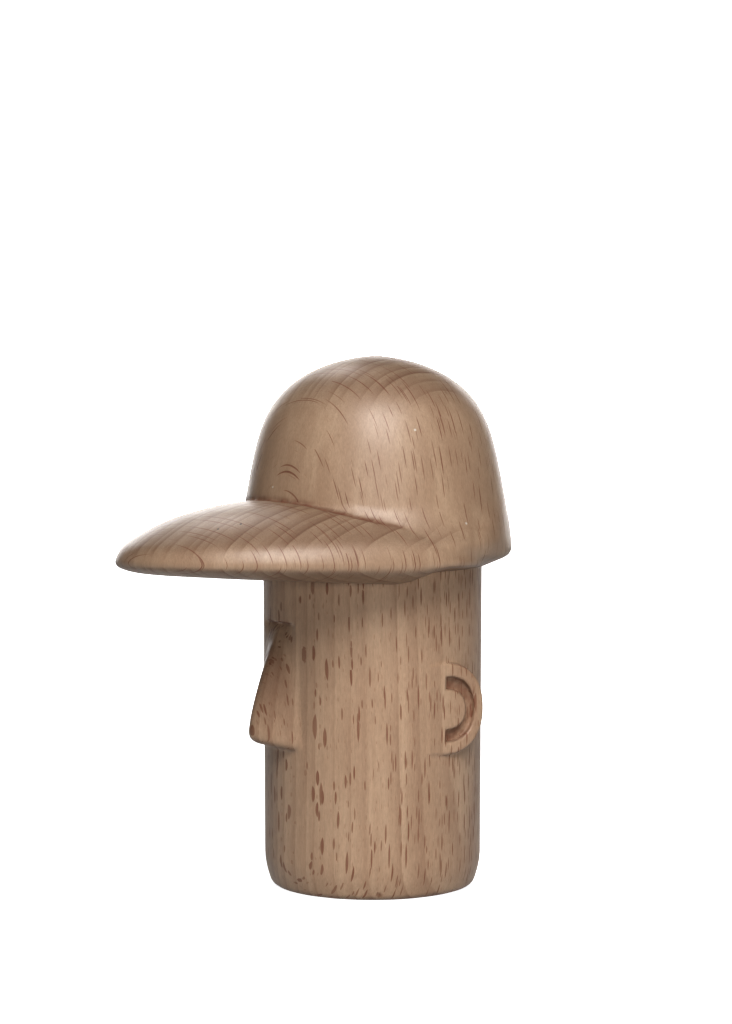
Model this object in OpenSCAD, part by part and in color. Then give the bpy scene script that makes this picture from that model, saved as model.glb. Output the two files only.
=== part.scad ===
// Turned wooden figure: a plain round head with a wedge nose and two flat
// ears, and a separate peaked cap that sits over the head on a dowel.
// Millimetres. Origin: centre of the base. +Z up, the face looks along -Y.

/* [Head] */
// Diameter of the head where the cap sits on it
head_d = 41.5; // [40:0.5:42]
// Diameter of the head at the foot, a little under the top diameter
foot_d = 40.75; // [39:0.25:41.5]
// Height of the head block, up to its hidden top face inside the cap
head_h = 78; // [76:0.5:80]
// Amount the side draws in at the foot
foot_inset = 1.45; // [0.5:0.05:3]
// Height at which the side starts to draw in
foot_high = 6.5; // [3:0.5:10]
// Size of the soft edge around the foot
foot_edge = 1.2; // [0.6:0.1:2]
// Chamfer on the hidden top edge of the head
top_chamfer = 0.8; // [0.4:0.1:1.5]

/* [Nose] */
// Height of the ledge at which the nose ends in the head
nose_top = 50.2; // [48:0.1:51]
// Height of the underside of the nose where it meets the head
nose_bottom = 26.6; // [26:0.1:28]
// Rise of the underside per unit forward
nose_rise = 0.25; // [0:0.01:0.4]
// Height above which the nose ridge curves back
nose_mid = 30; // [28:0.5:32]
// Strength of the curve of the nose ridge
nose_curl = 0.0922; // [0.08:0.0002:0.1]
// Furthest reach of the nose ridge from the head axis
nose_reach = 26.05; // [25:0.05:27]
// Half width of the nose at its top
nose_half_top = 6.1; // [5:0.1:6.5]
// Half width of the nose at its underside
nose_half_bottom = 7.4; // [6.6:0.1:8]
// Rounding of the front edge of the underside
nose_tip_round = 1.4; // [0.6:0.2:2.4]

/* [Ears] */
// Height of the ear centre
ear_z = 34.6; // [33:0.2:36]
// Distance of the ear centre behind the side of the head
ear_back = 3.4; // [2.6:0.2:3.6]
// Half length of the ear, front to back
ear_half_len = 8.3; // [7:0.1:8.4]
// Half height of the ear
ear_half_high = 8.4; // [7.6:0.1:9]
// Depth of the C-shaped groove in the ear
groove_depth = 1.1; // [0.6:0.1:1.4]

/* [Cap crown] */
// Height of the top of the crown
crown_top = 100; // [98:0.5:102]
// Height where the crown wall starts
rim_z = 61; // [60:0.25:62]
// Radius of the crown at its rim
rim_r = 26.7; // [26:0.1:27.2]
// Amount the crown wall leans in before it domes over
crown_taper = 6.65; // [5.5:0.05:7.5]
// Squareness of the crown dome
crown_power = 6.83; // [5:0.01:8]
// Height of the mouth edge around the back of the head
mouth_z = 59.5; // [59:0.1:60]
// Distance the crown sits back from the head axis
crown_back = 0.6; // [0:0.1:1]

/* [Cap visor] */
// Reach of the visor tip forward of the head axis
visor_reach = 51.4; // [48:0.1:54]
// Half width of the visor at its widest
visor_half_width = 30; // [28:0.5:31]
// Distance of the widest place forward of the head axis
visor_centre = 4.5; // [2:0.5:7]
// Length of the visor's tail behind its widest place
visor_tail = 23; // [20:0.5:25]
// Height of the top of the upright edge band
visor_edge_z = 63; // [62.5:0.1:63.5]
// Height of the bottom of the upright edge band
visor_low_z = 60.9; // [60.5:0.1:61.2]
// Rise of the domed visor top above its edge
visor_dome = 8.9; // [8:0.1:10]
// Extra rise of the visor top next to the crown
visor_lift = 1.3; // [0:0.1:2]
// Depth of the bevelled underside next to the head
visor_under = 3.5; // [2.5:0.1:4]

/* [Fits] */
// Gap between the head and the cap socket, on the radius
socket_gap = 0.25; // [0.15:0.05:0.5]
// Diameter of the locating dowel
dowel_d = 8; // [6:1:10]
// Depth of the dowel bore in the head
dowel_in_head = 12; // [8:1:16]
// Depth of the dowel bore in the cap
dowel_in_cap = 12; // [8:1:14]
// Running gap between the dowel and its bores, on the radius
dowel_gap = 0.05; // [0.02:0.01:0.1]

/* [Hidden] */
head_r = head_d / 2;
foot_r = foot_d / 2;
dowel_r = dowel_d / 2;
taper_top = 58;          // the head is a true cylinder above this height
end_gap = 0.3;           // free length at each end of the dowel
dowel_chamfer = 0.6;
head_col = [0.70, 0.56, 0.44];
cap_col = [0.66, 0.52, 0.40];
dowel_col = [0.78, 0.66, 0.50];

function clamp(x, low, high) = min(max(x, low), high);
// smooth union and smooth intersection of two distances
function smin(a, b, blend) = let (h = clamp(0.5 + 0.5 * (b - a) / blend, 0, 1))
    b + (a - b) * h - blend * h * (1 - h);
function smax(a, b, blend) = -smin(-a, -b, blend);
// soft step from 0 at start to 1 at end
function smooth(start, end, x) = let (t = clamp((x - start) / (end - start), 0, 1))
    t * t * (3 - 2 * t);
// two triangles that share the diagonal a-c
function quad(a, b, c, d) = [[a, b, c], [a, c, d]];

module bore(from_z, depth) {
    translate([0, 0, from_z]) cylinder(h = depth, r = dowel_r + dowel_gap, $fn = 64);
}
module both_sides() {
    children();
    mirror([1, 0, 0]) children();
}

// ---------- head ----------
function side_r(z) = foot_r + (head_r - foot_r) * min(z / taper_top, 1)
    - foot_inset * pow(max(1 - z / foot_high, 0), 2);
// [radius, height], from the base up
function head_profile() = concat(
    [[0, 0]],
    [for (i = [0:5]) let (q = i / 5, z = foot_edge * q * q)
        [side_r(z) - foot_edge * 1.09 * (1 - q) * (1 - q), z]],
    [for (t = [0.3, 0.45, 0.6, 0.8, 1]) [side_r(t * foot_high), t * foot_high]],
    [[head_r, taper_top], [head_r, head_h - top_chamfer],
     [head_r - top_chamfer, head_h], [0, head_h]]);

// ---------- nose ----------
nose_cols = 14;                                // steps across
nose_row = nose_cols + 1;                      // points in a row
nose_height = nose_top + 0.6 - nose_bottom;    // the top row ends inside the head
nose_back = 13;                                // reach of the buried end of the nose
nose_root = 19.4;                              // reach at which nose_bottom holds
nose_tip_z = nose_bottom + 1.2;                // level that sets the slope of the underside
nose_sink = 0.1;                               // depth of the nose edges below the head side
cut_from_z = 43;
cut_rows = 6;
cut_front = 24;                                // reach of the cut, clear of the head
cut_inset = 0.03;                              // the cut is this much narrower per side
cut_raise = 0.06;                              // and this much deeper than the nose surface

// Half width and ridge reach at a height. "Reach" is distance forward of the axis.
function nose_half(z) = nose_half_top + (nose_half_bottom - nose_half_top)
    * clamp((nose_top - z) / (nose_top - nose_bottom), 0, 1);
function nose_ridge(z) = nose_reach - nose_curl * pow(max(z - nose_mid, 0), 1.42);
// roof-shaped fall away from the ridge, with a rounder ridge lower down
function roof(x, z) = let (round = 0.7 + 1.5 * clamp((44 - z) / 14, 0, 1))
    sqrt(x * x + round * round) - round;
function nose_front(x, z) = let (
    half = nose_half(z), ridge = nose_ridge(z),
    edge = sqrt(head_r * head_r - half * half) - nose_sink)
    ridge - (ridge - edge) * roof(x, z) / roof(half, z);
function tip_drop(up) = let (t = clamp(1 - up / nose_tip_round, 0, 1))
    nose_tip_round * (1 - sqrt(max(1 - t * t, 0)));

// one point of the nose surface: across from -1 to 1, up above the underside
function nose_point(across, up) = let (
    drop = tip_drop(up) * (1 - 0.75 * abs(across)),
    tip = nose_front(across * nose_half(nose_tip_z), nose_tip_z) - drop,
    floor_z = nose_bottom + nose_rise * (tip - nose_root),
    z = floor_z * (1 - up / nose_height) + (nose_bottom + nose_height) * up / nose_height,
    x = across * nose_half(z))
    [x, -(nose_front(x, z) - drop), z];

module nose() {
    ups = concat([for (k = [0, 0.12, 0.45, 1]) k * nose_tip_round],
        [for (i = [1:12]) nose_tip_round + (nose_height - nose_tip_round) * i / 12]);
    last = len(ups) - 1;
    buried = len(ups) * nose_row;              // first point of the buried end
    top = last * nose_row;
    top_buried = buried + 2 * last;
    points = concat(
        [for (up = ups) for (i = [0:nose_cols]) nose_point(2 * i / nose_cols - 1, up)],
        [for (up = ups) for (across = [-1, 1]) let (p = nose_point(across, up))
            [p.x, -nose_back, p.z]]);
    faces = concat(
        // front
        [for (j = [0:last - 1]) for (i = [0:nose_cols - 1]) let (p = j * nose_row + i)
            each quad(p + 1, p, p + nose_row, p + nose_row + 1)],
        // -X side, +X side and back
        [for (j = [0:last - 1]) let (p = j * nose_row, q = buried + 2 * j)
            each quad(p, q, q + 2, p + nose_row)],
        [for (j = [0:last - 1]) let (p = j * nose_row + nose_cols, q = buried + 2 * j + 1)
            each quad(p, p + nose_row, q + 2, q)],
        [for (j = [0:last - 1]) let (q = buried + 2 * j)
            each quad(q, q + 1, q + 3, q + 2)],
        // underside and top
        [for (i = [0:nose_cols - 1]) [buried, i, i + 1]],
        [[buried, nose_cols, buried + 1]],
        [for (i = [0:nose_cols - 1]) [top_buried, top + i + 1, top + i]],
        [[top_buried, top_buried + 1, top + nose_cols]]);
    polyhedron(points = points, faces = faces, convexity = 4);
}

// the shallow cut that leaves a ledge above the nose; it lies in front of the flanks
module nose_cut() {
    row = nose_row;
    top = cut_rows * row;
    outer = (cut_rows + 1) * row;              // first point of the flat front layer
    points = [for (layer = [0, 1]) for (j = [0:cut_rows]) for (i = [0:nose_cols]) let (
        z = cut_from_z + (nose_top - cut_from_z) * j / cut_rows,
        x = (nose_half(z) - cut_inset) * (2 * i / nose_cols - 1))
        [x, layer == 0 ? -(nose_front(x, z) - cut_raise) : -cut_front, z]];
    faces = concat(
        // inner and outer layer
        [for (j = [0:cut_rows - 1]) for (i = [0:nose_cols - 1]) let (p = j * row + i)
            each quad(p + 1, p + row + 1, p + row, p)],
        [for (j = [0:cut_rows - 1]) for (i = [0:nose_cols - 1]) let (p = outer + j * row + i)
            each quad(p + 1, p, p + row, p + row + 1)],
        // -X side and +X side
        [for (j = [0:cut_rows - 1]) let (p = j * row)
            each quad(p, p + row, p + row + outer, p + outer)],
        [for (j = [0:cut_rows - 1]) let (p = j * row + nose_cols)
            each quad(p, p + outer, p + row + outer, p + row)],
        // bottom and top
        [for (i = [0:nose_cols - 1]) each quad(i, i + outer, i + 1 + outer, i + 1)],
        [for (i = [0:nose_cols - 1]) let (p = top + i)
            each quad(p, p + 1, p + 1 + outer, p + outer)]);
    polyhedron(points = points, faces = faces, convexity = 4);
}

// ---------- ears ----------
ear_inner_x = 12;                              // buried face of the ear
ear_outer_x = head_r - 0.03;
ear_front = 1;                                 // straight front edge, behind the axis
groove_back = ear_back + 0.5;                  // groove centre
groove_z = ear_z - 0.1;
groove_power = 2.3;                            // squareness of the groove
groove_outer = [5.9, 5.9];                     // half length, half height
groove_inner = [4.1, 3.7];

// rounded D in the (back, up) plane, cut straight at front
function outline(half, power, centre, front) = [for (t = [0:7.5:359]) let (
    c = cos(t), s = sin(t),
    x = centre.x + half.x * sign(c) * pow(abs(c), 2 / power),
    y = centre.y + half.y * sign(s) * pow(abs(s), 2 / power)) [max(x, front), y]];

// stands the (back, up) plane on the +X side of the head
module sideways(from_x, thick) {
    translate([from_x, 0, 0]) rotate([90, 0, 90]) linear_extrude(thick) children();
}
module ear_blank() {
    sideways(ear_inner_x, ear_outer_x - ear_inner_x)
        polygon(outline([ear_half_len, ear_half_high], 2.35, [ear_back, ear_z], ear_front));
}
module ear_groove() {
    centre = [groove_back, groove_z];
    sideways(head_r - groove_depth - 0.1, 3)
        difference() {
            polygon(outline(groove_outer, groove_power, centre, ear_back + 0.4));
            polygon(outline(groove_inner, groove_power, centre, 0));
        }
}

module head() {
    color(head_col) difference() {
        union() {
            difference() {
                rotate_extrude($fn = 96) polygon(head_profile());
                nose_cut();
            }
            nose();
            both_sides() ear_blank();
        }
        both_sides() ear_groove();
        bore(head_h - dowel_in_head, dowel_in_head + 2);
    }
}

// ---------- cap shape, as signed distances: negative inside ----------
function crown_r(z) = let (up = clamp((z - rim_z) / (crown_top + 0.1 - rim_z), 0, 1))
    smin((rim_r - crown_taper * up) * pow(max(1 - pow(up, crown_power), 0), 1 / 1.62),
         rim_r - 0.65, 0.8);
function crown_wall(p) = let (
    step = 0.4, slope = (crown_r(p.z + step) - crown_r(p.z - step)) / (2 * step))
    (norm([p.x, p.y - crown_back]) - crown_r(p.z)) / sqrt(1 + min(slope * slope, 400));
// the mouth face rises outward from the head and a little towards the back
function crown(p) = let (
    mouth = mouth_z + 0.38 * clamp(norm([p.x, p.y]) - head_r, 0, 8) + 0.04 * clamp(p.y, 0, 20))
    smax(max(crown_wall(p), p.z - crown_top), (mouth - p.z) * 0.93, 1.6);

visor_edge_power = 3.3;                        // how late the visor top falls to its edge
visor_dome_power = 0.93;
// 0 behind the head axis, 1 where the full visor underside begins
function visor_ramp(forward) = smooth(0.2, 8.6, forward);

// visor: two half ellipses in plan, gently domed on top, with an upright edge
// band and a bevelled underside
function visor(p) = let (
    forward = -p.y, ahead = forward - visor_centre,
    half_len = ahead > 0 ? visor_reach - visor_centre : visor_tail,
    // 0 at the centre, 1 on the plan ellipse; then its gradient and the distance inside
    ellipse = max(norm([p.x / visor_half_width, ahead / half_len]), 1e-4),
    grad = norm([p.x / pow(visor_half_width, 2), ahead / pow(half_len, 2)]) / ellipse,
    inset = (1 - ellipse) / grad,
    // domed top, its slope, and the lift near the crown
    dome = visor_dome * (1 + 0.17 * smooth(20, 52, forward)),
    bulge = 1 - pow(min(ellipse, 0.9995), visor_edge_power),
    slope = dome * visor_dome_power * pow(bulge, visor_dome_power - 1)
        * visor_edge_power * pow(ellipse, visor_edge_power - 1) * grad,
    lift = visor_lift * clamp((45 - forward) / 20, 0, 1) * sqrt(bulge),
    top = (p.z - visor_edge_z - lift - dome * pow(bulge, visor_dome_power))
        / sqrt(1 + pow(min(slope, 3), 2)),
    // bevelled underside, shallow behind the head axis
    ramp = visor_ramp(forward),
    depth = max(visor_under - 0.036 * forward, 0.3) * ramp + 0.6 * (1 - ramp),
    bottom = visor_low_z + 0.25 * smooth(12, 50, forward)
        - depth * (1 - exp(-max(inset, 0) / 2.4)) - p.z)
    smax(smax(top, -inset, 2.4), bottom * 0.85, 1);

// the two joined: crisp at the front, a soft sweep at the sides
function cap_shape(p) = let (
    in_crown = crown(p), in_visor = visor(p),
    angle = atan2(abs(p.x), -p.y),             // 0 at the front, 180 at the back
    lip = smooth(31.5, 45.8, angle) * (1 - smooth(60, 94.5, angle)),
    blend = 0.35 + (2 * smooth(31.5, 54.4, angle) + 2.6 * smooth(57.3, 103, angle))
        * smooth(60.5, 65.5, p.z))
    min(smin(in_crown, in_visor + 0.5 * lip, blend), in_crown, in_visor);

// ---------- cap mesh: rays from inside the cap, in rows from the mouth up ----------
cap_around = 64;
rows_under = 7;                                // rows below the visor edge
rows_up = 17;                                  // rows from the visor edge to the top
cap_rows = rows_under + rows_up;
ray_origin = [0, 0, visor_edge_z + 0.8];
edge_drop = 1.4;                               // the edge row aims this far below the origin
lowest_ray = -13;                              // degrees
inner_r = 17;                                  // first row, inside the later socket
socket_from_z = 40;                            // below the cap

// distance along a ray to the surface, by halving
function reach(direction, near = 2, far = 70, steps = 18) = let (middle = (near + far) / 2)
    steps == 0 ? middle
    : cap_shape(ray_origin + direction * middle) < 0
        ? reach(direction, middle, far, steps - 1)
        : reach(direction, near, middle, steps - 1);

// plan angle from -Y, spread evenly around the visor ellipse and the crown
function azimuth(i) = let (t = 360 * i / cap_around)
    cos(t) > 0 ? atan2(sin(t) * 28, cos(t) * 37) : atan2(sin(t), cos(t));
function edge_r(angle) = cos(angle) > 0
    ? 1 / sqrt(pow(sin(angle) / visor_half_width, 2) + pow(cos(angle) / visor_reach, 2))
    : max(visor_half_width * (1 + 0.35 * cos(angle)), rim_r);
function elevation(angle, row) = let (level = atan2(-edge_drop, edge_r(angle)))
    row < rows_under
        ? level + (lowest_ray - level) * pow((rows_under - row) / rows_under, 1.3)
        : level + (90 - level) * pow((row - rows_under) / rows_up, 1.45);
function inner_point(angle) = [inner_r * sin(angle), -inner_r * cos(angle),
    mouth_z + 0.4 - 2.2 * visor_ramp(inner_r * cos(angle))];
function cap_point(angle, row) = let (
    up = elevation(angle, row),
    direction = [sin(angle) * cos(up), -cos(angle) * cos(up), sin(up)])
    ray_origin + direction * reach(direction);

module cap_blank() {
    n = cap_around;
    top = cap_rows * n;                        // centre point of the top, then of the mouth
    points = concat(
        [for (row = [0:cap_rows - 1]) for (i = [0:n - 1])
            row == 0 ? inner_point(azimuth(i)) : cap_point(azimuth(i), row)],
        [[0, 0, crown_top], [0, 0, mouth_z]]);
    faces = concat(
        [for (row = [0:cap_rows - 2]) for (i = [0:n - 1]) let (
            p = row * n + i, q = row * n + (i + 1) % n)
            each quad(q, p, p + n, q + n)],
        [for (i = [0:n - 1]) [top - n + i, top, top - n + (i + 1) % n]],
        [for (i = [0:n - 1]) [i, (i + 1) % n, top + 1]]);
    polyhedron(points = points, faces = faces, convexity = 6);
}

module cap() {
    color(cap_col) difference() {
        cap_blank();
        translate([0, 0, socket_from_z])
            cylinder(h = head_h - socket_from_z, r = head_r + socket_gap, $fn = 96);
        bore(head_h - 1, dowel_in_cap + 1);
    }
}

// ---------- dowel ----------
module cap_dowel() {
    tip_r = dowel_r - dowel_chamfer;
    from_z = head_h - dowel_in_head + end_gap;
    long = dowel_in_head + dowel_in_cap - 2 * end_gap;
    color(dowel_col) translate([0, 0, from_z]) {
        cylinder(h = dowel_chamfer, r1 = tip_r, r2 = dowel_r, $fn = 64);
        translate([0, 0, dowel_chamfer])
            cylinder(h = long - 2 * dowel_chamfer, r = dowel_r, $fn = 64);
        translate([0, 0, long - dowel_chamfer])
            cylinder(h = dowel_chamfer, r1 = dowel_r, r2 = tip_r, $fn = 64);
    }
}

head();
cap();
cap_dowel();
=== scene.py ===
"""Turned beech figure with a lift-off peaked cap, on a pale floor.

The figure stands on z = 0 with its axis along z. Its nose and the cap's visor point along -y,
the ears stand off at +x and -x. Shapes and wood are worked in millimetres, the scene in metres.
"""

import itertools
import math

import bpy
import numpy as np
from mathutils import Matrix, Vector


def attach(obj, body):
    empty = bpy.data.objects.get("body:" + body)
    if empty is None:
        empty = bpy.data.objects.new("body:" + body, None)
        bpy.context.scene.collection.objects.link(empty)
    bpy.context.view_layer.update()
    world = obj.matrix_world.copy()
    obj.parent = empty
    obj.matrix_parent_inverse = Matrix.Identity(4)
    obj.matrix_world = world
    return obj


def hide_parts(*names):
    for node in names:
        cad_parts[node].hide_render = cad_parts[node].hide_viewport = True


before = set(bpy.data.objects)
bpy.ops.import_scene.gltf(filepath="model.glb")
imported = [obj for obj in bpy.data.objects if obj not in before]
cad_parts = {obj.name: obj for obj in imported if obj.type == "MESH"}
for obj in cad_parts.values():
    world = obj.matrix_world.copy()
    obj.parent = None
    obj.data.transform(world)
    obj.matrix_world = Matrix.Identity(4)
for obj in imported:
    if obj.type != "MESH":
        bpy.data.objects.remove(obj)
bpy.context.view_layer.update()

# ---------------------------------------------------------------- head sizes, in millimetres
HEAD_RADIUS, FOOT_RADIUS = 20.75, 20.38
HEAD_TOP = 78.0
TAPER_HEIGHT = 58.0                         # the body reaches its full radius here
FOOT_EDGE_HEIGHT, FOOT_EDGE_INSET = 6.5, 1.45
TOP_ROUND = 0.8
BORE_RADIUS = 4.05                          # upright hole shared by head and cap
HEAD_BORE_FLOOR, CAP_BORE_TOP = 66.0, 90.0
CORE = 12.0                                 # nose and ears begin this far from the axis

NOSE_TOP, NOSE_BOTTOM = 50.2, 26.6
NOSE_TIP = 26.05                            # forward reach, below the curl
NOSE_CURL, NOSE_CURL_START, NOSE_CURL_POWER = 0.0922, 30.0, 1.42
NOSE_BOTTOM_SLOPE, NOSE_BOTTOM_FRONT = 0.25, 19.4
NOSE_HALF_TOP, NOSE_HALF_BOTTOM = 6.1, 7.4

# ovals seen from the side: centre (y, z), half sizes (y, z), power, distance scale
EAR_OVAL = dict(centre=(3.4, 34.6), half=(8.3, 8.4), power=2.35, scale=8.2)
GROOVE_OUTER = dict(centre=(3.9, 34.5), half=(5.9, 5.9), power=2.3, scale=5.9)
GROOVE_INNER = dict(centre=(3.9, 34.5), half=(4.1, 3.7), power=2.3, scale=3.7)
EAR_FACE = 20.72
GROOVE_FRONT, GROOVE_DEPTH = 3.7, 1.15
CHIP_CENTRE, CHIP_RADIUS = (17.9, -8.9, 0.8), 0.7

# ---------------------------------------------------------------- cap sizes, in millimetres
CROWN_RADIUS, CROWN_TAPER = 26.7, 6.65
CROWN_POWER, CROWN_ROOT = 6.83, 1.62        # how squarely the profile turns over
CROWN_BACK = 0.6                            # crown axis behind the head's
RIM_Z, CAP_TOP, RIM_MAX = 61.0, 100.1, 26.05
MOUTH_Z, MOUTH_SLOPE, MOUTH_ROUND = 59.5, 0.38, 1.6
SOCKET_GAP, SOCKET_BOTTOM = 0.25, 40.0

VISOR_TIP, VISOR_CENTRE, VISOR_BACK = 51.4, 4.5, 23.0   # tip and centre forward of the axis
VISOR_HALF_WIDTH = 30.0
VISOR_Z, VISOR_DOME, VISOR_DOME_GAIN = 63.0, 8.9, 0.17
DOME_EDGE_POWER, DOME_POWER = 3.3, 0.93
VISOR_LIFT = 1.3
VISOR_TOP_ROUND, VISOR_BOTTOM_ROUND = 2.4, 1.0
VISOR_EDGE_Z, VISOR_TIP_UP = 60.9, 0.25
BEVEL_DEPTH, BEVEL_LOSS, BEVEL_WIDTH, BEVEL_BACK_DEPTH = 3.5, 0.036, 2.4, 0.6

# ---------------------------------------------------------------- meshing
STEP = 0.36
BLOCK = 4                                   # samples along one side of a coarse block
GRADIENT_REACH, LONGEST_MOVE = 0.05, 0.25


# ---------------------------------------------------------------- field helpers
# A field is negative inside the solid and roughly the distance to its surface elsewhere.
def smooth_min(a, b, width):
    share = np.clip(0.5 + 0.5 * (b - a) / width, 0, 1)
    return b + (a - b) * share - width * share * (1 - share)


def smooth_max(a, b, width):
    return -smooth_min(-a, -b, width)


def ease(start, end, x):
    """Smooth step from 0 at start to 1 at end."""
    t = np.clip((x - start) / (end - start), 0, 1)
    return t * t * (3 - 2 * t)


def hash3(i, j, k, seed):
    n = (i * 73856093) ^ (j * 19349663) ^ (k * 83492791) ^ (seed * 2654435761)
    n = (n ^ (n >> 13)) & 0xFFFFFFFF
    n = (n * 1274126177) & 0xFFFFFFFF
    n = (n ^ (n >> 16)) & 0xFFFFFFFF
    return n / 4294967295.0


def noise(x, y, z, size, seed):
    """Smooth lattice noise from -1 to 1."""
    scaled = [x / size, y / size, z / size]
    cells = [np.floor(s).astype(np.int64) for s in scaled]
    parts = [s - cell for s, cell in zip(scaled, cells)]
    weights = [t * t * (3 - 2 * t) for t in parts]
    total = 0
    for corner in itertools.product((0, 1), repeat=3):
        value = hash3(*(cell + c for cell, c in zip(cells, corner)), seed)
        for c, weight in zip(corner, weights):
            value = value * (weight if c else 1 - weight)
        total = total + value
    return total * 2 - 1


def oval(y, z, centre, half, power, scale):
    """A rounded-square outline in the yz plane."""
    total = np.abs((y - centre[0]) / half[0]) ** power + np.abs((z - centre[1]) / half[1]) ** power
    return (total ** (1 / power) - 1) * scale


# ---------------------------------------------------------------- head
def turned_body(radius, z):
    """Round body, a little narrower at the foot, with a soft foot edge and a rounded top edge."""
    wall = FOOT_RADIUS + (HEAD_RADIUS - FOOT_RADIUS) * np.clip(z / TAPER_HEIGHT, 0, 1)
    foot = np.clip(1 - z / FOOT_EDGE_HEIGHT, 0, 1)
    slope = 2 * FOOT_EDGE_INSET / FOOT_EDGE_HEIGHT * foot
    side = (radius - wall + FOOT_EDGE_INSET * foot ** 2) / np.sqrt(1 + slope ** 2)
    lower = smooth_max(side, -z, 1.2)
    out, up = side + TOP_ROUND, z - HEAD_TOP + TOP_ROUND
    corner = np.hypot(np.maximum(out, 0), np.maximum(up, 0))
    upper = np.minimum(np.maximum(out, up), 0) + corner - TOP_ROUND
    return np.maximum(lower, upper)


def nose_underside(front):
    return NOSE_BOTTOM + NOSE_BOTTOM_SLOPE * (front - NOSE_BOTTOM_FRONT)


def nose_shapes(front, across, z):
    """The roof-shaped wedge of the nose, and the flank cut into the head at its bridge."""
    tip = NOSE_TIP - NOSE_CURL * np.maximum(z - NOSE_CURL_START, 0) ** NOSE_CURL_POWER
    down = np.clip((NOSE_TOP - z) / (NOSE_TOP - NOSE_BOTTOM), 0, 1)
    half = NOSE_HALF_TOP + (NOSE_HALF_BOTTOM - NOSE_HALF_TOP) * down
    root = np.sqrt(HEAD_RADIUS ** 2 - half * half) - 0.1
    ridge = 0.7 + 1.5 * np.clip((44 - z) / 14, 0, 1)       # the ridge is blunter lower down
    slope = (tip - root) / (np.sqrt(half * half + ridge * ridge) - ridge)
    surface = tip - slope * (np.sqrt(across * across + ridge * ridge) - ridge)
    surface = surface - 0.8 * np.maximum(across - half, 0)
    face = (front - surface) / np.sqrt(1 + slope ** 2 * 0.8 + 0.12)
    nose = smooth_max(face, (nose_underside(front) - z) * 0.97, 1.7)
    for limit in (across - half - 3.0, CORE - front, z - NOSE_TOP):
        nose = np.maximum(nose, limit)
    cut = np.maximum(np.maximum(across - half, z - NOSE_TOP), np.maximum(-face, 40 - z))
    return nose, cut


def ear_groove(y, z):
    """C-shaped outline, open toward the nose."""
    ring = np.maximum(oval(y, z, **GROOVE_OUTER), -oval(y, z, **GROOVE_INNER))
    return np.maximum(ring, GROOVE_FRONT - y)


def head_shape(x, y, z):
    front, across, radius = -y, np.abs(x), np.hypot(x, y)
    nose, cut = nose_shapes(front, across, z)
    body = smooth_max(turned_body(radius, z), -cut, 0.15)
    body = smooth_min(body, nose, 0.4)
    # ears: flat-faced discs standing off the side
    ear = smooth_max(oval(y, z, **EAR_OVAL), across - EAR_FACE, 0.45)
    ear = np.maximum(np.maximum(ear, CORE - across), -y)
    groove = smooth_max(ear_groove(y, z), HEAD_RADIUS - GROOVE_DEPTH - across, 0.3)
    body = smooth_min(body, ear, 0.35)
    body = smooth_max(body, -groove, 0.35)
    bore = np.maximum(radius - BORE_RADIUS, HEAD_BORE_FLOOR - z)
    return np.maximum(body, -bore)


def chip_distance(x, y, z):
    """Distance from a small chip at the foot, flattened in height."""
    cx, cy, cz = CHIP_CENTRE
    return np.sqrt((x - cx) ** 2 + (y - cy) ** 2 + ((z - cz) * 0.8) ** 2)


def head_detail(x, y, z):
    """The head with the small unevenness of hand sanding, a rough groove and a chip at the foot."""
    field = head_shape(x, y, z) - 0.02 * noise(x, y, z * 0.4, size=3.2, seed=3)
    in_groove = ease(0.3, -0.3, ear_groove(y, z)) * ease(18, 18.6, np.abs(x))
    field = field + 0.10 * in_groove * noise(x, y, z, size=0.55, seed=8)
    # fine cross marks of the cutter beside the nose
    depth, pitch = 0.035, 0.85
    beside = np.exp(-((np.abs(x) - 8.0) / 1.1) ** 2) * (-y > CORE)
    beside = beside * ease(26.5, 28, z) * (1 - ease(47, 49, z))
    phase = z * 2 * np.pi / pitch + 2.0 * noise(x, y, z, size=2.0, seed=21)
    field = field + depth * beside * np.sin(phase)
    return smooth_max(field, -(chip_distance(x, y, z) - CHIP_RADIUS), 0.2)


def head_torn_and_shade(x, y, z):
    """How torn and dark each point is, 0 to 1: torn fibres in the ear groove and the chip, a darker
    band along the foot's bottom edge, and painted shade at the nose's ledge, lower corners and
    flanks.
    """
    front, across, radius = -y, np.abs(x), np.hypot(x, y)
    groove = 0.55 * ease(0.35, -0.25, ear_groove(y, z)) * ease(18.6, 19.0, across)
    groove = groove * (1 + 0.6 * noise(x, y, z, size=0.7, seed=9))
    # painted shade along the small ledge above the nose
    ledge_shade = np.exp(-((z - 50.1) / 0.40) ** 2) * (1 - ease(3.5, 5.0, across))
    ledge_shade = ledge_shade * ease(0.3, 1.2, across) * (front > 15)
    ledge_shade = ledge_shade * (0.8 + 0.4 * noise(x, y, z, size=0.9, seed=10))
    # painted shade in the outer corners under the nose
    under = 0.8 * (1 - ease(0.1, 0.5, np.abs(z - nose_underside(front) + 0.2)))
    under = under * ease(20.7, 21.0, radius) * (across > 5.0) * (across < 8.6)
    # darker in a thin band along the foot's bottom edge
    foot = 0.55 * (1 - ease(0.05, 0.4, z)) * ease(17.5, 18.4, radius)
    chip = 1 - ease(0.65, 0.95, chip_distance(x, y, z))
    # painted shadow of the visor on the cut flanks of the nose, deeper toward the bridge
    flank_visor_shadow = 0.42 * ease(0.1, 0.9, radius - HEAD_RADIUS) * ease(24, 42, z)
    flank_visor_shadow = flank_visor_shadow * (front > 10) * (1 - ease(49.9, 50.3, z))
    return np.maximum.reduce([groove, ledge_shade, under, foot, chip, flank_visor_shadow])


# ---------------------------------------------------------------- cap
def crown_radius(z):
    up = np.clip((z - RIM_Z) / (CAP_TOP - RIM_Z), 0, 1)
    turn_over = np.maximum(1 - up ** CROWN_POWER, 0) ** (1 / CROWN_ROOT)
    return smooth_min((CROWN_RADIUS - CROWN_TAPER * up) * turn_over, RIM_MAX, 0.8)


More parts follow.
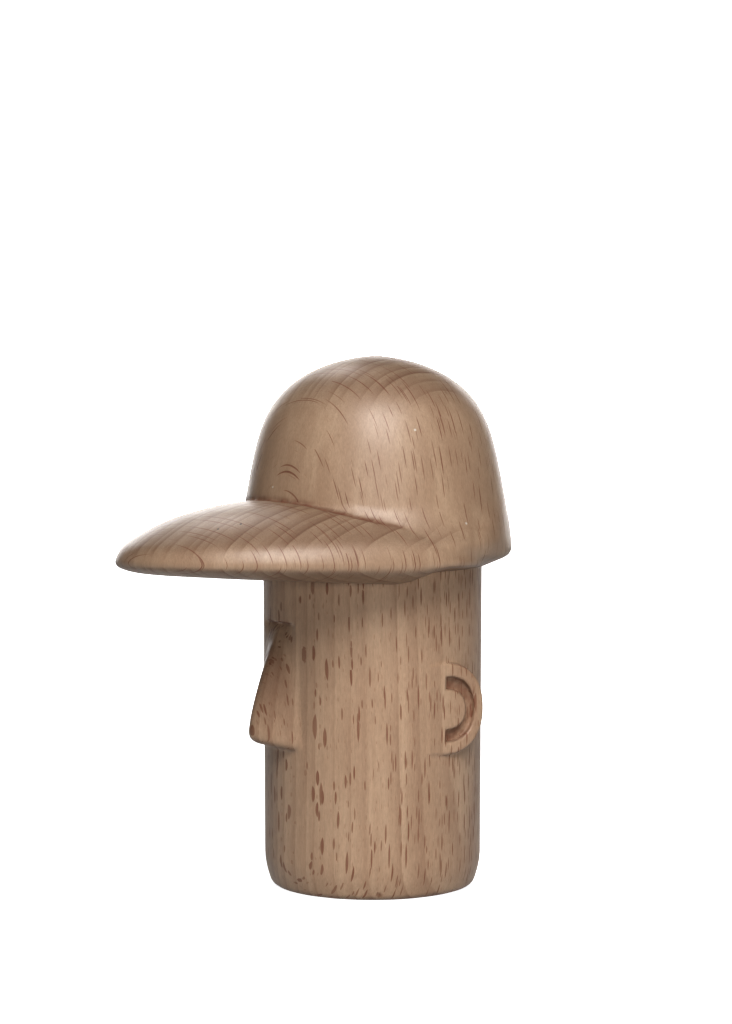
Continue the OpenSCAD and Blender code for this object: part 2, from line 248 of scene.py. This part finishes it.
def crown_shape(x, y, z):
    from_axis = np.hypot(x, y - CROWN_BACK)
    slope = (crown_radius(z + 0.4) - crown_radius(z - 0.4)) / 0.8
    crown = (from_axis - crown_radius(z)) / np.sqrt(1 + np.minimum(slope ** 2, 400))
    above = np.hypot(np.maximum(from_axis - 2, 0), z - CAP_TOP)
    crown = np.where(z > CAP_TOP, above, crown)
    crown = np.maximum(crown, z - CAP_TOP)
    under = MOUTH_Z + np.clip(np.hypot(x, y) - HEAD_RADIUS, 0, 8) * MOUTH_SLOPE
    under = under + 0.04 * np.clip(y, 0, 20) - z
    return smooth_max(crown, under * 0.93, MOUTH_ROUND)


def visor_shape(x, y, z):
    """Gently domed top, upright edge, bevelled underside, on an oval longer at the front."""
    front = -y
    ahead, width = front - VISOR_CENTRE, VISOR_HALF_WIDTH
    reach = np.where(ahead > 0, VISOR_TIP - VISOR_CENTRE, VISOR_BACK)
    spread = np.maximum(np.sqrt((x / width) ** 2 + (ahead / reach) ** 2), 1e-4)    # 1 on the edge
    steep = np.hypot(x / width ** 2, ahead / reach ** 2) / spread
    inward = (1 - spread) / steep
    height = VISOR_DOME * (1 + VISOR_DOME_GAIN * ease(20, 52, front))
    dome = 1 - np.minimum(spread, 0.9995) ** DOME_EDGE_POWER
    slope = height * DOME_POWER * dome ** (DOME_POWER - 1)
    slope = slope * DOME_EDGE_POWER * spread ** (DOME_EDGE_POWER - 1) * steep
    lift = VISOR_LIFT * np.clip((45 - front) / 20, 0, 1) * np.sqrt(dome)
    top = z - VISOR_Z - lift - height * dome ** DOME_POWER
    top = top / np.sqrt(1 + np.minimum(slope, 3) ** 2)
    depth = np.maximum(BEVEL_DEPTH - BEVEL_LOSS * front, 0.3)
    ramp = ease(0.2, 8.6, front)
    depth = depth * ramp + BEVEL_BACK_DEPTH * (1 - ramp)
    bottom = VISOR_EDGE_Z + VISOR_TIP_UP * ease(12, 50, front)
    bottom = bottom - depth * (1 - np.exp(-np.maximum(inward, 0) / BEVEL_WIDTH))
    visor = smooth_max(top, -inward, VISOR_TOP_ROUND)
    return smooth_max(visor, (bottom - z) * 0.85, VISOR_BOTTOM_ROUND)


def angle_from_front(x, y):
    return np.arctan2(np.abs(x), -y)


def cap_shape(x, y, z):
    crown, visor, angle = crown_shape(x, y, z), visor_shape(x, y, z), angle_from_front(x, y)
    # the joint between them: crisp at the front, then a torn lip, then a soft sweep at the sides
    lip = ease(0.55, 0.80, angle) * (1 - ease(1.05, 1.65, angle))
    sweep = 2.0 * ease(0.55, 0.95, angle) + 2.6 * ease(1.00, 1.80, angle)
    body = smooth_min(crown, visor + 0.5 * lip, 0.35 + sweep * ease(60.5, 65.5, z))
    body = np.minimum(body, np.minimum(crown, visor))
    radius = np.hypot(x, y)
    socket = np.maximum(radius - (HEAD_RADIUS + SOCKET_GAP), z - HEAD_TOP)
    body = np.maximum(body, -np.maximum(socket, SOCKET_BOTTOM - z))
    return np.maximum(body, -np.maximum(radius - BORE_RADIUS, z - CAP_BORE_TOP))


def crease(x, y, z, width):
    """Nearness to the line where crown meets visor round the front, and its raggedness."""
    crown, visor, angle = crown_shape(x, y, z), visor_shape(x, y, z), angle_from_front(x, y)
    ragged = ease(0.5, 0.75, angle)
    near = np.exp(-((crown - 0.75 * ragged - 0.25) ** 2 + visor ** 2) / width ** 2)
    return near * (1 - ease(0.95, 1.4, angle)), ragged


def cap_detail(x, y, z):
    """The cap with a slight hand-worked unevenness and torn fibres along the crease."""
    near, ragged = crease(x, y, z, width=0.50)
    pit = near * (0.17 + 0.10 * ragged) * (1 + noise(x, y, z, size=0.8, seed=12))
    return cap_shape(x, y, z) - 0.03 * noise(x, y, z, size=7.0, seed=5) + pit


def cap_torn(x, y, z):
    near, _ = crease(x, y, z, width=0.58)
    return near * (0.90 + 0.6 * noise(x, y, z, size=0.9, seed=13))


# ---------------------------------------------------------------- meshes
def sample_near_surface(field, low, high):
    """Field values on a grid: exact near the surface, one value per block elsewhere."""
    count = np.ceil((np.array(high, float) - low) / STEP / BLOCK).astype(int) * BLOCK
    axes = [low[i] + STEP * np.arange(count[i]) for i in range(3)]
    centres = [axis[::BLOCK] + STEP * (BLOCK - 1) / 2 for axis in axes]
    coarse = field(*np.meshgrid(*centres, indexing="ij"))
    values = coarse.repeat(BLOCK, 0).repeat(BLOCK, 1).repeat(BLOCK, 2)
    near = np.argwhere(np.abs(coarse) < 2.2 * BLOCK * STEP)
    offsets = np.indices((BLOCK,) * 3).reshape(3, 1, -1)
    index = (near.T[:, :, None] * BLOCK + offsets).reshape(3, -1)
    values[tuple(index)] = field(*(axis[i] for axis, i in zip(axes, index)))
    return values


def surface_nets(field, low, high):
    """A closed quad mesh of field = 0: one point per crossed cell, one quad per crossed edge."""
    low = np.array(low, float)
    values = sample_near_surface(field, low, high)
    count = values.shape
    inside = values < 0
    cell_shape = tuple(n - 1 for n in count)
    corners = list(itertools.product((0, 1), repeat=3))
    inside_count = np.zeros(cell_shape, np.int8)
    for corner in corners:
        inside_count += inside[tuple(slice(c, n - 1 + c) for c, n in zip(corner, count))]
    crossed = (inside_count > 0) & (inside_count < 8)
    cells = np.argwhere(crossed)
    corner_values = np.stack([values[tuple((cells + corner).T)] for corner in corners], 1)

    # each point is the mean of the crossings on its cell's edges
    offset = np.zeros((len(cells), 3))
    crossings = np.zeros(len(cells))
    for p, q in itertools.combinations(range(8), 2):
        start, end = corners[p], corners[q]
        if sum(a != b for a, b in zip(start, end)) != 1:
            continue
        at_start, at_end = corner_values[:, p], corner_values[:, q]
        hit = (at_start < 0) != (at_end < 0)
        t = np.where(hit, at_start / np.where(hit, at_start - at_end, 1), 0)
        for i in range(3):
            offset[:, i] += np.where(hit, start[i] + (end[i] - start[i]) * t, 0)
        crossings += hit
    points = low + STEP * (cells + offset / crossings[:, None])

    point_index = np.full(cell_shape, -1)
    point_index[crossed] = np.arange(len(cells))
    groups = []
    for axis in range(3):
        first = inside[tuple(slice(0, count[i] - (i == axis)) for i in range(3))]
        second = inside[tuple(slice(int(i == axis), count[i]) for i in range(3))]
        edges = np.argwhere(first != second)
        u, v = [i for i in range(3) if i != axis]
        keep = (edges[:, u] > 0) & (edges[:, v] > 0)
        keep &= (edges[:, u] < count[u] - 1) & (edges[:, v] < count[v] - 1)
        edges = edges[keep]
        along_u, along_v = np.eye(3, dtype=int)[[u, v]]
        around = (edges - along_u - along_v, edges - along_v, edges, edges - along_u)
        quads = np.stack([point_index[tuple(cell.T)] for cell in around], 1)
        outward = np.where(first[tuple(edges.T)], 1.0, -1.0)
        diagonals = [points[quads[:, i + 2]] - points[quads[:, i]] for i in (0, 1)]
        wrong = np.cross(*diagonals)[:, axis] * outward < 0
        groups.append(np.where(wrong[:, None], quads[:, ::-1], quads))
    return points, np.concatenate(groups)


def project(field, points, rounds):
    """Move points onto field = 0 in short steps along the gradient."""
    shifts = np.eye(3) * GRADIENT_REACH
    for _ in range(rounds):
        rises = [field(*(points + s).T) - field(*(points - s).T) for s in shifts]
        gradient = np.stack(rises, 1) / (2 * GRADIENT_REACH)
        move = -(field(*points.T) / ((gradient ** 2).sum(1) + 1e-6))[:, None] * gradient
        length = np.linalg.norm(move, axis=1)[:, None]
        points = points + move * np.minimum(1, LONGEST_MOVE / np.maximum(length, 1e-9))
    return points


def make_object(name, points, quads):
    mesh = bpy.data.meshes.new(name)
    mesh.vertices.add(len(points))
    mesh.vertices.foreach_set("co", (points * 0.001).astype(np.float32).ravel())
    mesh.loops.add(quads.size)
    mesh.loops.foreach_set("vertex_index", quads.astype(np.int32).ravel())
    mesh.polygons.add(len(quads))
    mesh.polygons.foreach_set("loop_start", np.arange(0, quads.size, 4, dtype=np.int32))
    mesh.polygons.foreach_set("use_smooth", np.ones(len(quads), bool))
    mesh.update(calc_edges=True)
    mesh.validate()
    obj = bpy.data.objects.new(name, mesh)
    bpy.context.scene.collection.objects.link(obj)
    return obj


def build(name, shape, detail, torn_and_shade, low, high):
    """Mesh the plain shape, settle it on the detailed one and store how torn or painted-shaded each
    point is.
    """
    points, quads = surface_nets(shape, low, high)
    points = project(shape, points, rounds=3)
    points = project(detail, points, rounds=2)
    points[:, 2] = np.maximum(points[:, 2], 0)
    obj = make_object(name, points, quads)
    attribute = obj.data.attributes.new("torn_and_shade", "FLOAT", "POINT")
    attribute.data.foreach_set("value", np.clip(torn_and_shade(*points.T), 0, 1).astype(np.float32))
    return obj


head = build("head_wood", head_shape, head_detail, head_torn_and_shade,
             low=(-23.2, -28.6, -1.5), high=(23.2, 23.2, 80))
cap = build("cap_wood", cap_shape, cap_detail, cap_torn,
            low=(-32.6, -55, 55), high=(32.6, 29.5, 102))


# ---------------------------------------------------------------- shader node helpers
class Nodes:
    """Short hands for building a node tree; most return an output socket."""

    def __init__(self, tree):
        self.tree = tree

    def new(self, kind, **props):
        node = self.tree.nodes.new(kind)
        for key, value in props.items():
            setattr(node, key, value)
        return node

    def put(self, socket, value):
        if isinstance(value, bpy.types.NodeSocket):
            self.tree.links.new(value, socket)
        elif value is not None:
            socket.default_value = value

    def fill(self, node, values):
        for socket, value in zip(node.inputs, values):
            self.put(socket, value)
        return node

    def math(self, operation, *values, clamp=False):
        node = self.new("ShaderNodeMath", operation=operation, use_clamp=clamp)
        return self.fill(node, values).outputs[0]

    def add(self, a, b):
        return self.math("ADD", a, b)

    def sub(self, a, b):
        return self.math("SUBTRACT", a, b)

    def mul(self, a, b):
        return self.math("MULTIPLY", a, b)

    def div(self, a, b):
        return self.math("DIVIDE", a, b)

    def vec(self, operation, *values, output="Vector"):
        node = self.new("ShaderNodeVectorMath", operation=operation)
        return self.fill(node, values).outputs[output]

    def xyz(self, *values):
        return self.fill(self.new("ShaderNodeCombineXYZ"), values).outputs[0]

    def split(self, vector):
        return self.fill(self.new("ShaderNodeSeparateXYZ"), [vector]).outputs

    def noise(self, position, scale, detail=2.0, rough=0.5, dims="3D", output=0):
        """Noise value, or its colour with output=1; in 1D the position is a single number."""
        node = self.new("ShaderNodeTexNoise", noise_dimensions=dims)
        self.put(node.inputs["W" if dims == "1D" else "Vector"], position)
        node.inputs["Scale"].default_value = scale
        node.inputs["Detail"].default_value = detail
        node.inputs["Roughness"].default_value = rough
        return node.outputs[output]

    def fade(self, value, start, end, low=0.0, high=1.0, kind="SMOOTHSTEP"):
        """Go from low at start to high at end."""
        node = self.new("ShaderNodeMapRange", interpolation_type=kind)
        return self.fill(node, (value, start, end, low, high)).outputs[0]

    def mix(self, factor, a, b, kind="MIX"):
        node = self.new("ShaderNodeMix", data_type="RGBA", blend_type=kind)
        for index, value in ((0, factor), (6, a), (7, b)):
            self.put(node.inputs[index], value)
        return node.outputs[2]

    def shade(self, colour, level):
        return self.mix(1.0, colour, self.xyz(level, level, level), "MULTIPLY")

    def ramp(self, value, stops):
        node = self.new("ShaderNodeValToRGB")
        self.put(node.inputs[0], value)
        elements = node.color_ramp.elements
        while len(elements) < len(stops):
            elements.new(0.5)
        for element, (position, grey) in zip(elements, stops):
            element.position = position
            element.color = (grey, grey, grey, 1)
        return node.outputs[0]


# ---------------------------------------------------------------- beech
def wander(node, position, scale, detail, reach):
    """A noise displacement centred on zero."""
    colour = node.noise(position, scale, detail, output=1)
    return node.vec("MULTIPLY", node.vec("SUBTRACT", colour, (0.5, 0.5, 0.5)), reach)


def grain_coordinates(node, wood, angle, pith_distance, wave):
    """Distance out from the pith, arc along the rings and height up the trunk."""
    bends = wander(node, wood, scale=0.018, detail=1.0, reach=(2.2, 2.2, 0.0))
    squeezed = node.vec("MULTIPLY", wood, (1, 1, 0.35))
    waves = wander(node, squeezed, scale=0.22, detail=2.0, reach=(wave, wave, 0.5))
    x, y, z = node.split(node.vec("ADD", node.vec("ADD", wood, bends), waves))
    cos, sin = math.cos(angle), math.sin(angle)
    dx, dy = node.sub(x, -pith_distance * cos), node.sub(y, -pith_distance * sin)
    u = node.add(node.mul(dx, cos), node.mul(dy, sin))
    v = node.sub(node.mul(dy, cos), node.mul(dx, sin))
    out = node.math("SQRT", node.add(node.mul(u, u), node.mul(v, v)))
    arc = node.mul(node.math("ARCTAN2", v, u), pith_distance)
    return out, arc, z


def growth_rings(node, at, out, end, pitch, flip, side_depth, end_depth, quiet):
    """Slow darkening outward, then a sharp return to pale early wood."""
    wobble = node.mul(node.sub(node.noise(out, scale=0.16, dims="1D"), 0.5), 5.0)
    turns = node.div(node.add(out, wobble), pitch)
    phase = node.math("FRACT", turns)
    if flip:
        phase = node.sub(1.0, phase)
    saw = node.ramp(phase, [(0.0, 0.0), (0.30, 0.10), (0.70, 0.55), (0.94, 1.0), (1.0, 0.05)])
    per_ring = node.noise(node.math("FLOOR", turns), scale=1.7, detail=0.0, dims="1D")
    ring = node.mul(saw, node.add(0.45, node.mul(1.1, per_ring)))
    ring = node.mul(ring, node.add(side_depth, node.mul(end, end_depth - side_depth)))
    if quiet:
        # fainter rings between two heights
        bottom, top = quiet
        height = node.split(at)[2]
        ring = node.mul(ring, node.add(node.fade(height, bottom, bottom + 4, low=1.0, high=0.15),
                                       node.fade(height, top, top + 8, high=0.75)))
    # finer lines inside the rings, on end grain
    fine_pitch, fine_depth = 0.93, 0.06
    lines = node.math("SINE", node.mul(node.add(out, wobble), 2 * math.pi / fine_pitch))
    return node.add(ring, node.mul(node.mul(node.add(1.0, lines), fine_depth), end))


def ray_layer(node, grain, thin, cell, half, left_out, strength, seed):
    """One layer of thin upright sheets, one in each cell of a jittered lattice."""
    out, arc, z = grain
    scaled = node.xyz(*(node.div(a, c) for a, c in zip((arc, z, out), cell)))
    place = node.vec("ADD", scaled, (seed, seed * 1.7, seed * 0.6))
    lattice = node.new("ShaderNodeTexVoronoi", voronoi_dimensions="3D", feature="F1")
    for name, value in (("Vector", place), ("Scale", 1.0), ("Randomness", 0.72)):
        node.put(lattice.inputs[name], value)
    separate = node.fill(node.new("ShaderNodeSeparateColor"), [lattice.outputs["Color"]])
    pick, size_pick, tone_pick = separate.outputs
    size = node.add(0.55, node.mul(size_pick, 0.55))
    offset = node.vec("SUBTRACT", place, lattice.outputs["Position"])
    thickness = node.add(0.45, node.mul(size, 0.55))
    offset = node.vec("DIVIDE", offset, node.xyz(thickness, size, size))
    offset = node.vec("MULTIPLY", offset, tuple(c / h for c, h in zip(cell, half)))
    across, up, outward = node.split(node.vec("ABSOLUTE", offset))
    # the sheet's edge thins to a point up and down the grain
    taper = node.add(node.math("POWER", up, 2.2), node.math("POWER", outward, 4.0))
    sheet = node.fade(node.add(node.div(across, thin), taper), 1.0, 0.72)
    kept = node.math("GREATER_THAN", pick, left_out)
    tone = node.add(0.70, node.mul(tone_pick, 0.30))
    return node.mul(node.mul(sheet, kept), node.mul(tone, strength))


def ray_sheets(node, grain, fibre, angle, narrow, layers):
    """All ray layers together, broken up by the fibres that cross them."""
    # a sheet met at a low angle would smear into a blotch: keep its trace narrow
    along = node.vec("DOT_PRODUCT", node.new("ShaderNodeTexCoord").outputs["Normal"],
                     (-math.sin(angle), math.cos(angle), 0.0), output="Value")
    facing = node.math("SUBTRACT", 1.0, node.mul(along, along), clamp=True)
    thin = node.math("MAXIMUM", node.math("SQRT", facing), narrow)
    rays = None
    for i, layer in enumerate(layers):
        sheets = ray_layer(node, grain, thin, *layer, seed=3.1 + 11.3 * i)
        rays = sheets if rays is None else node.math("MAXIMUM", rays, sheets)
    broken = node.fade(fibre, 0.25, 0.6, low=0.70, kind="LINEAR")
    return node.math("MULTIPLY", rays, broken, clamp=True)


def beech(name, radial_deg, pith_distance, shift, colours, ring_depth, end_depth, rough, layers,
          flip=False, ring_pitch=2.8, wave=0.16, quiet=None, tone=1.0, narrow=0.8, gloss=0.5,
          marks=()):
    """Beech in true 3-D: growth rings about a pith line, rays as thin upright sheets that run
    out from it, and fine fibres, so each cut face shows the figure it would show in the wood."""
    light, middle, dark, fleck = colours
    angle = math.radians(radial_deg)
    material = bpy.data.materials.new(name)
    material.use_nodes = True
    material.node_tree.nodes.clear()
    node = Nodes(material.node_tree)
    output = node.new("ShaderNodeOutputMaterial")
    bsdf = node.new("ShaderNodeBsdfPrincipled")
    node.put(output.inputs[0], bsdf.outputs[0])

    scale = node.new("ShaderNodeVectorMath", operation="SCALE")
    node.put(scale.inputs[0], node.new("ShaderNodeTexCoord").outputs["Object"])
    scale.inputs["Scale"].default_value = 1000.0           # metres to millimetres
    at = scale.outputs["Vector"]
    wood = node.vec("ADD", at, shift)
    grain = grain_coordinates(node, wood, angle, pith_distance, wave)
    out, arc, z = grain
    # how far the face turns to end grain
    normal = node.new("ShaderNodeNewGeometry").outputs["Normal"]
    end = node.fade(node.math("ABSOLUTE", node.split(normal)[2]), 0.30, 0.85)
    ring = growth_rings(node, at, out, end, ring_pitch, flip, ring_depth, end_depth, quiet)

    def grain_noise(squeeze, scale, detail, rough):
        return node.noise(node.xyz(out, arc, node.mul(z, squeeze)), scale, detail, rough)

    # broad patches of colour, streaks and fibres, all long in the grain
    patch = grain_noise(squeeze=0.22, scale=0.16, detail=3.0, rough=0.6)
    streak = grain_noise(squeeze=0.035, scale=0.9, detail=3.0, rough=0.65)
    fibre = grain_noise(squeeze=0.10, scale=5.5, detail=2.0, rough=0.6)
    speck = grain_noise(squeeze=0.35, scale=3.2, detail=2.0, rough=0.7)
    rays = ray_sheets(node, grain, fibre, angle, narrow, layers)

    # colour
    colour = node.mix(node.fade(patch, 0.3, 0.7), light, middle)
    colour = node.mix(node.mul(node.fade(streak, 0.35, 0.72), 0.6), colour, middle)
    colour = node.mix(ring, colour, dark)
    colour = node.shade(colour, node.mul(
        node.fade(fibre, 0.2, 0.8, low=0.88, high=1.11, kind="LINEAR"),
        node.fade(speck, 0.2, 0.8, low=0.93, high=1.06, kind="LINEAR")))
    # end grain soaks up more finish and reads darker
    colour = node.shade(colour, node.mul(node.sub(1.0, node.mul(end, 0.17)), tone))
    # pores, strongest on end grain
    pores = node.mul(node.fade(node.noise(wood, scale=7.0, detail=1.0), 0.56, 0.72), 0.16)
    colour = node.shade(colour, node.sub(1.0, node.mul(pores, node.add(0.35, end))))
    colour = node.mix(node.mul(rays, 0.92), colour, fleck)
    # torn fibres in creases and grooves, and painted shade round the nose, in one dark colour
    torn_and_shade = node.new("ShaderNodeAttribute", attribute_name="torn_and_shade").outputs["Fac"]
    colour = node.mix(node.math("MULTIPLY", torn_and_shade, 0.9, clamp=True), colour, TORN_AND_SHADE_COLOUR)
    for (*centre, radius, grey) in marks:
        distance = node.vec("DISTANCE", at, tuple(centre), output="Value")
        near = node.fade(distance, radius * 1.15, radius * 0.75, high=0.9)
        colour = node.mix(near, colour, (grey, grey * 0.92, grey * 0.82, 1))

    # finish: slightly uneven sheen under a thin coat, duller on rays, torn fibres and the
    # painted-shade spots
    uneven = node.mul(node.sub(node.noise(wood, scale=0.35, detail=3.0), 0.5), 0.10)
    duller = node.add(node.mul(rays, 0.06), node.mul(torn_and_shade, 0.3))
    roughness = node.add(node.add(rough, uneven), duller)
    coat = node.mul(node.math("SUBTRACT", 1.0, torn_and_shade, clamp=True), 0.12)
    height = node.add(node.mul(fibre, 0.5), node.mul(rays, -0.5))
    height = node.add(height, node.mul(node.noise(wood, scale=2.2, detail=3.0), 0.5))
    bump = node.new("ShaderNodeBump")
    bump.inputs["Strength"].default_value = 0.35
    bump.inputs["Distance"].default_value = 0.00005
    node.put(bump.inputs["Height"], height)
    settings = {"Base Color": colour, "Roughness": roughness, "IOR": 1.5,
                "Specular IOR Level": gloss, "Coat Weight": coat, "Coat Roughness": 0.24,
                "Normal": bump.outputs[0]}
    for key, value in settings.items():
        node.put(bsdf.inputs[key], value)
    return material


LIGHT, MIDDLE, DARK = (0.53, 0.382, 0.268, 1), (0.44, 0.302, 0.207, 1), (0.30, 0.178, 0.116, 1)
FLECK, CAP_FLECK = (0.215, 0.088, 0.048, 1), (0.18, 0.068, 0.037, 1)
# dark colour of torn fibres, also used as painted shade round the nose
TORN_AND_SHADE_COLOUR = (0.185, 0.080, 0.045, 1)
# each ray layer: cell (arc, z, out from pith), half size (same axes), share left out, strength
HEAD_RAYS = (
    ((1.45, 5.8, 1.9), (0.18, 2.4, 0.80), 0.15, 1.0),
    ((1.35, 5.0, 1.7), (0.16, 2.0, 0.70), 0.20, 1.0),
    ((1.1, 3.8, 1.4), (0.13, 1.4, 0.55), 0.25, 0.9),
    ((0.6, 1.8, 1.1), (0.07, 0.6, 0.45), 0.3, 0.4),
)
CAP_RAYS = (
    ((2.1, 7.0, 24.0), (0.135, 2.8, 11.5), 0.10, 1.0),
    ((1.8, 5.8, 19.0), (0.125, 2.3, 9.0), 0.15, 1.0),
    ((2.6, 6.4, 26.0), (0.130, 2.6, 12.0), 0.20, 1.0),
    ((0.6, 1.8, 6.0), (0.05, 0.5, 2.4), 0.3, 0.4),
)
# small pale specks and dark pin specks: x, y, z, radius, brightness
CAP_MARKS = (
    (25.7, 4.9, 68.7, 0.34, 0.62), (4.0, -23.4, 75.2, 0.22, 0.62), (21.6, -3.6, 85.5, 0.25, 0.60),
    (14.1, -34.9, 68.7, 0.24, 0.03), (12.6, -38.6, 67.8, 0.22, 0.04),
)
head_beech = beech("beech_head", radial_deg=25.0, pith_distance=150.0, shift=(0, 0, 0),
                   colours=(LIGHT, MIDDLE, DARK, FLECK), ring_depth=0.38, end_depth=0.8,
                   rough=0.42, layers=HEAD_RAYS, tone=1.01)
cap_beech = beech("beech_cap", radial_deg=198.0, pith_distance=550.0, shift=(13.0, 40.0, 7.0),
                  colours=(LIGHT, MIDDLE, DARK, CAP_FLECK), ring_depth=0.12, end_depth=0.8,
                  rough=0.44, layers=CAP_RAYS, flip=True, ring_pitch=2.5, wave=0.07,
                  quiet=(74.0, 86.0), tone=0.88, narrow=0.4, gloss=0.62, marks=CAP_MARKS)
dowel_beech = beech("beech_dowel", radial_deg=70.0, pith_distance=90.0, shift=(5.0, -9.0, 31.0),
                    colours=((0.56, 0.40, 0.27, 1), (0.48, 0.33, 0.21, 1), DARK, FLECK),
                    ring_depth=0.3, end_depth=0.5, rough=0.5, layers=HEAD_RAYS)

head.data.materials.append(head_beech)
cap.data.materials.append(cap_beech)
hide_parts("head")
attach(head, "head")
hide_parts("cap")
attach(cap, "cap")
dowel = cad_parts["cap_dowel"]
dowel.data.materials.clear()
dowel.data.materials.append(dowel_beech)

# ---------------------------------------------------------------- floor, in metres
scene = bpy.context.scene
FLOOR_HALF = 4
FLOOR_SEEN, FLOOR_BOUNCE = (0.86, 0.86, 0.86, 1), (0.44, 0.44, 0.44, 1)


def floor_material():
    """One pale sheet to the camera, fading into the backdrop; darker to all other rays."""
    material = bpy.data.materials.new("pale_floor")
    material.use_nodes = True
    inputs = material.node_tree.nodes["Principled BSDF"].inputs
    inputs["Base Color"].default_value = FLOOR_SEEN
    inputs["Roughness"].default_value = 0.9
    inputs["Specular IOR Level"].default_value = 0.1
    inputs["Emission Color"].default_value = (1, 1, 1, 1)
    node = Nodes(material.node_tree)
    place = node.new("ShaderNodeTexCoord").outputs["Object"]
    far = node.fade(node.vec("LENGTH", place, output="Value"), 0.12, 0.45)
    path = node.new("ShaderNodeLightPath").outputs
    seen = path["Is Camera Ray"]
    glow = node.add(node.mul(seen, node.add(1.0, node.mul(far, 0.5))),
                    node.mul(path["Is Glossy Ray"], 0.35))
    node.put(inputs["Emission Strength"], glow)
    node.put(inputs["Base Color"], node.mix(seen, FLOOR_BOUNCE, FLOOR_SEEN))
    return material


floor_mesh = bpy.data.meshes.new("floor")
floor_mesh.from_pydata([(x * FLOOR_HALF, y * FLOOR_HALF, 0)
                        for x, y in ((-1, -1), (1, -1), (1, 1), (-1, 1))], [], [(0, 1, 2, 3)])
floor = bpy.data.objects.new("floor", floor_mesh)
scene.collection.objects.link(floor)
floor_mesh.materials.append(floor_material())

# ---------------------------------------------------------------- world, lights, camera
CAMERA_AZIMUTH_DEG = 60.0                   # from -y toward +x
CAMERA_DISTANCE, EYE_HEIGHT = 0.3968, 0.076
CAMERA_DOWN_DEG, CAMERA_LEFT_DEG = 0.8082974, 0.1784482
SENSOR_MM, LENS_MM = 36.0, 73.37109375
camera_azimuth = math.radians(CAMERA_AZIMUTH_DEG)
to_camera = (math.sin(camera_azimuth), -math.cos(camera_azimuth))


def studio_world():
    """A bright low sheet behind the figure, a tall strip to its left, and white to the camera."""
    world = bpy.data.worlds.new("studio")
    scene.world = world
    world.use_nodes = True
    world.node_tree.nodes.clear()
    node = Nodes(world.node_tree)
    generated = node.new("ShaderNodeTexCoord").outputs["Generated"]
    x, y, z = node.split(node.vec("NORMALIZE", generated))
    flat = node.math("SQRT", node.add(node.mul(x, x), node.mul(y, y)))
    flat = node.math("MAXIMUM", flat, 1e-4)

    def toward(direction_x, direction_y):
        return node.div(node.add(node.mul(x, direction_x), node.mul(y, direction_y)), flat)

    def edge(value, dark_deg, bright_deg, ratio=math.sin):
        """Go from 0 to 1 between two angles."""
        return node.fade(value, ratio(math.radians(dark_deg)), ratio(math.radians(bright_deg)))

    behind = toward(-to_camera[0], -to_camera[1])
    sheet = node.mul(edge(z, 29, 20), edge(behind, 36, 22, math.cos))
    # the strip is seen in the far slope of the visor
    right = toward(-to_camera[1], to_camera[0])
    strip = node.mul(edge(z, 62, 54), edge(z, 32, 38))
    strip = node.mul(strip, node.mul(edge(right, -24, -19), edge(right, -8, -12)))
    strip = node.mul(strip, node.math("GREATER_THAN", behind, 0.0))
    ambient, sheet_level, strip_level, backdrop = 0.02, 4.2, 7.0, 1.0
    panels = node.math("MAXIMUM", node.mul(sheet, sheet_level), node.mul(strip, strip_level))
    level = node.add(ambient, panels)
    seen = node.new("ShaderNodeLightPath").outputs["Is Camera Ray"]
    level = node.math("MAXIMUM", level, node.mul(seen, backdrop))
    background = node.new("ShaderNodeBackground")
    node.fill(background, (node.xyz(level, level, level), 1.0))
    node.fill(node.new("ShaderNodeOutputWorld"), [background.outputs[0]])


def area(name, azimuth, elevation, distance, size, watts, target=(0, 0, 0.06)):
    """A soft box; azimuth in degrees from the camera's own, elevation above the horizon."""
    turn, rise = math.radians(CAMERA_AZIMUTH_DEG + azimuth), math.radians(elevation)
    direction = np.array([math.sin(turn) * math.cos(rise), -math.cos(turn) * math.cos(rise),
                          math.sin(rise)])
    light = bpy.data.lights.new(name, "AREA")
    light.shape = "RECTANGLE"
    light.size, light.size_y = size
    light.energy = watts
    light.color = (1, 1, 1)
    obj = bpy.data.objects.new(name, light)
    scene.collection.objects.link(obj)
    obj.location = np.array(target) + direction * distance
    obj.rotation_mode = "QUATERNION"
    obj.rotation_quaternion = Vector(-direction).to_track_quat("-Z", "Y")
    return obj


studio_world()
area("key", azimuth=4, elevation=45, distance=0.7, size=(0.40, 0.38), watts=4.6)
area("key_halo", azimuth=16, elevation=38, distance=0.75, size=(0.62, 0.55), watts=0.55)
fill = area("front_fill", azimuth=12, elevation=4, distance=0.9, size=(0.34, 0.14), watts=2.6)
fill.visible_glossy = False

camera_data = bpy.data.cameras.new("camera")
camera = bpy.data.objects.new("camera", camera_data)
scene.collection.objects.link(camera)
camera_data.sensor_width = SENSOR_MM
camera_data.lens = LENS_MM
camera_data.clip_start, camera_data.clip_end = 0.01, 20
camera.location = (to_camera[0] * CAMERA_DISTANCE, to_camera[1] * CAMERA_DISTANCE, EYE_HEIGHT)
camera.rotation_euler = (math.pi / 2 - math.radians(CAMERA_DOWN_DEG), 0,
                         camera_azimuth + math.radians(CAMERA_LEFT_DEG))
scene.camera = camera
scene.view_settings.view_transform = "Standard"
scene.view_settings.look = "None"
scene.view_settings.gamma = 0.78
scene.cycles.use_denoising = True
